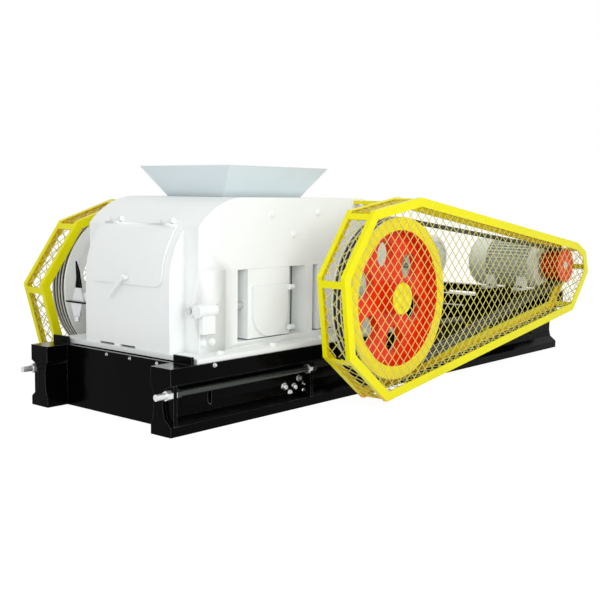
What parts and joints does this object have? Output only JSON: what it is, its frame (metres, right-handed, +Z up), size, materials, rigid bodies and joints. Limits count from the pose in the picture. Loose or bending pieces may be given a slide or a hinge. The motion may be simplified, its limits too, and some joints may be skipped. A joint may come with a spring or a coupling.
{
  "type": "toothed roll crusher",
  "caption": "Double toothed roll crusher on a two-beam base, with a feed hopper, hinged door, and a guarded belt drive on each side.",
  "frame": {"origin": "on the floor, in the middle of the four foundation bolt holes of the base", "axes": "+X from the rounded door end to the motor end, +Z up, the near belt drive on -Y"},
  "size_m": [3.005, 1.378, 0.966],
  "materials": {
    "black_enamel": "gloss black machine enamel",
    "rod_steel": "bright steel",
    "housing_white": "satin off-white enamel",
    "hopper_grey": "satin pale blue-grey enamel",
    "shaft_steel": "turned steel",
    "roll_iron": "wear-resistant cast steel",
    "pulley_red": "gloss red enamel",
    "belt_rubber": "matte black rubber",
    "motor_grey": "satin grey-white enamel",
    "guard_yellow": "gloss yellow enamel",
    "mesh_wire": "pale yellow-green enamel"
  },
  "bodies": {
    "base": {"near_beam": "black_enamel", "far_beam": "black_enamel", "left_panel": "black_enamel", "right_panel": "black_enamel", "cross_members": "black_enamel", "motor_deck": "black_enamel", "motor_rails": "black_enamel", "near_tie_rod": "rod_steel", "far_tie_rod": "rod_steel", "rod_brackets": "black_enamel", "stop_plates": "black_enamel", "near_side_frame": "housing_white", "far_side_frame": "housing_white", "housing_foot": "housing_white", "left_shell": "housing_white", "right_shell": "housing_white", "top_cover": "housing_white", "hopper": "hopper_grey", "adjusting_screws": "rod_steel", "near_block_a": "housing_white", "far_block_a": "housing_white", "near_block_b": "housing_white", "far_block_b": "housing_white", "near_belts": "belt_rubber", "far_belts": "belt_rubber", "near_motor": "motor_grey", "far_motor": "motor_grey", "near_guard": "guard_yellow", "far_guard": "guard_yellow", "near_mesh": "mesh_wire", "far_mesh": "mesh_wire", "guard_brackets": "guard_yellow"},
    "roller_a": {"shaft_a": "shaft_steel", "roll_a": "roll_iron", "far_pulley": "pulley_red"},
    "roller_b": {"shaft_b": "shaft_steel", "roll_b": "roll_iron", "near_pulley": "pulley_red"},
    "near_rotor": {"near_motor_shaft": "rod_steel", "near_motor_pulley": "pulley_red"},
    "far_rotor": {"far_motor_shaft": "rod_steel", "far_motor_pulley": "pulley_red"},
    "door_leaf": {"door": "housing_white", "door_handle": "housing_white"}
  },
  "joints": [
    {"name": "roller_a_spin", "type": "hinge", "parent": "base", "child": "roller_a", "pos_m": [-0.8665, 0, 0.438], "axis": [0, 1, 0], "continuous": true},
    {"name": "roller_b_spin", "type": "hinge", "parent": "base", "child": "roller_b", "pos_m": [-0.4435, 0, 0.438], "axis": [0, 1, 0], "continuous": true},
    {"name": "near_motor_spin", "type": "hinge", "parent": "base", "child": "near_rotor", "pos_m": [1.06, -0.6, 0.502], "axis": [0, 1, 0], "continuous": true},
    {"name": "far_motor_spin", "type": "hinge", "parent": "base", "child": "far_rotor", "pos_m": [1.06, 0.6, 0.502], "axis": [0, 1, 0], "continuous": true},
    {"name": "door_swing", "type": "hinge", "parent": "base", "child": "door_leaf", "pos_m": [-1.24982, 0, 0.75363], "axis": [0, 1, 0], "range_deg": [0, 95]}
  ],
  "couplings": [
    {"joint": "near_motor_spin", "follows": "roller_b_spin", "ratio": 4.0943},
    {"joint": "far_motor_spin", "follows": "roller_a_spin", "ratio": 4.0943}
  ]
}
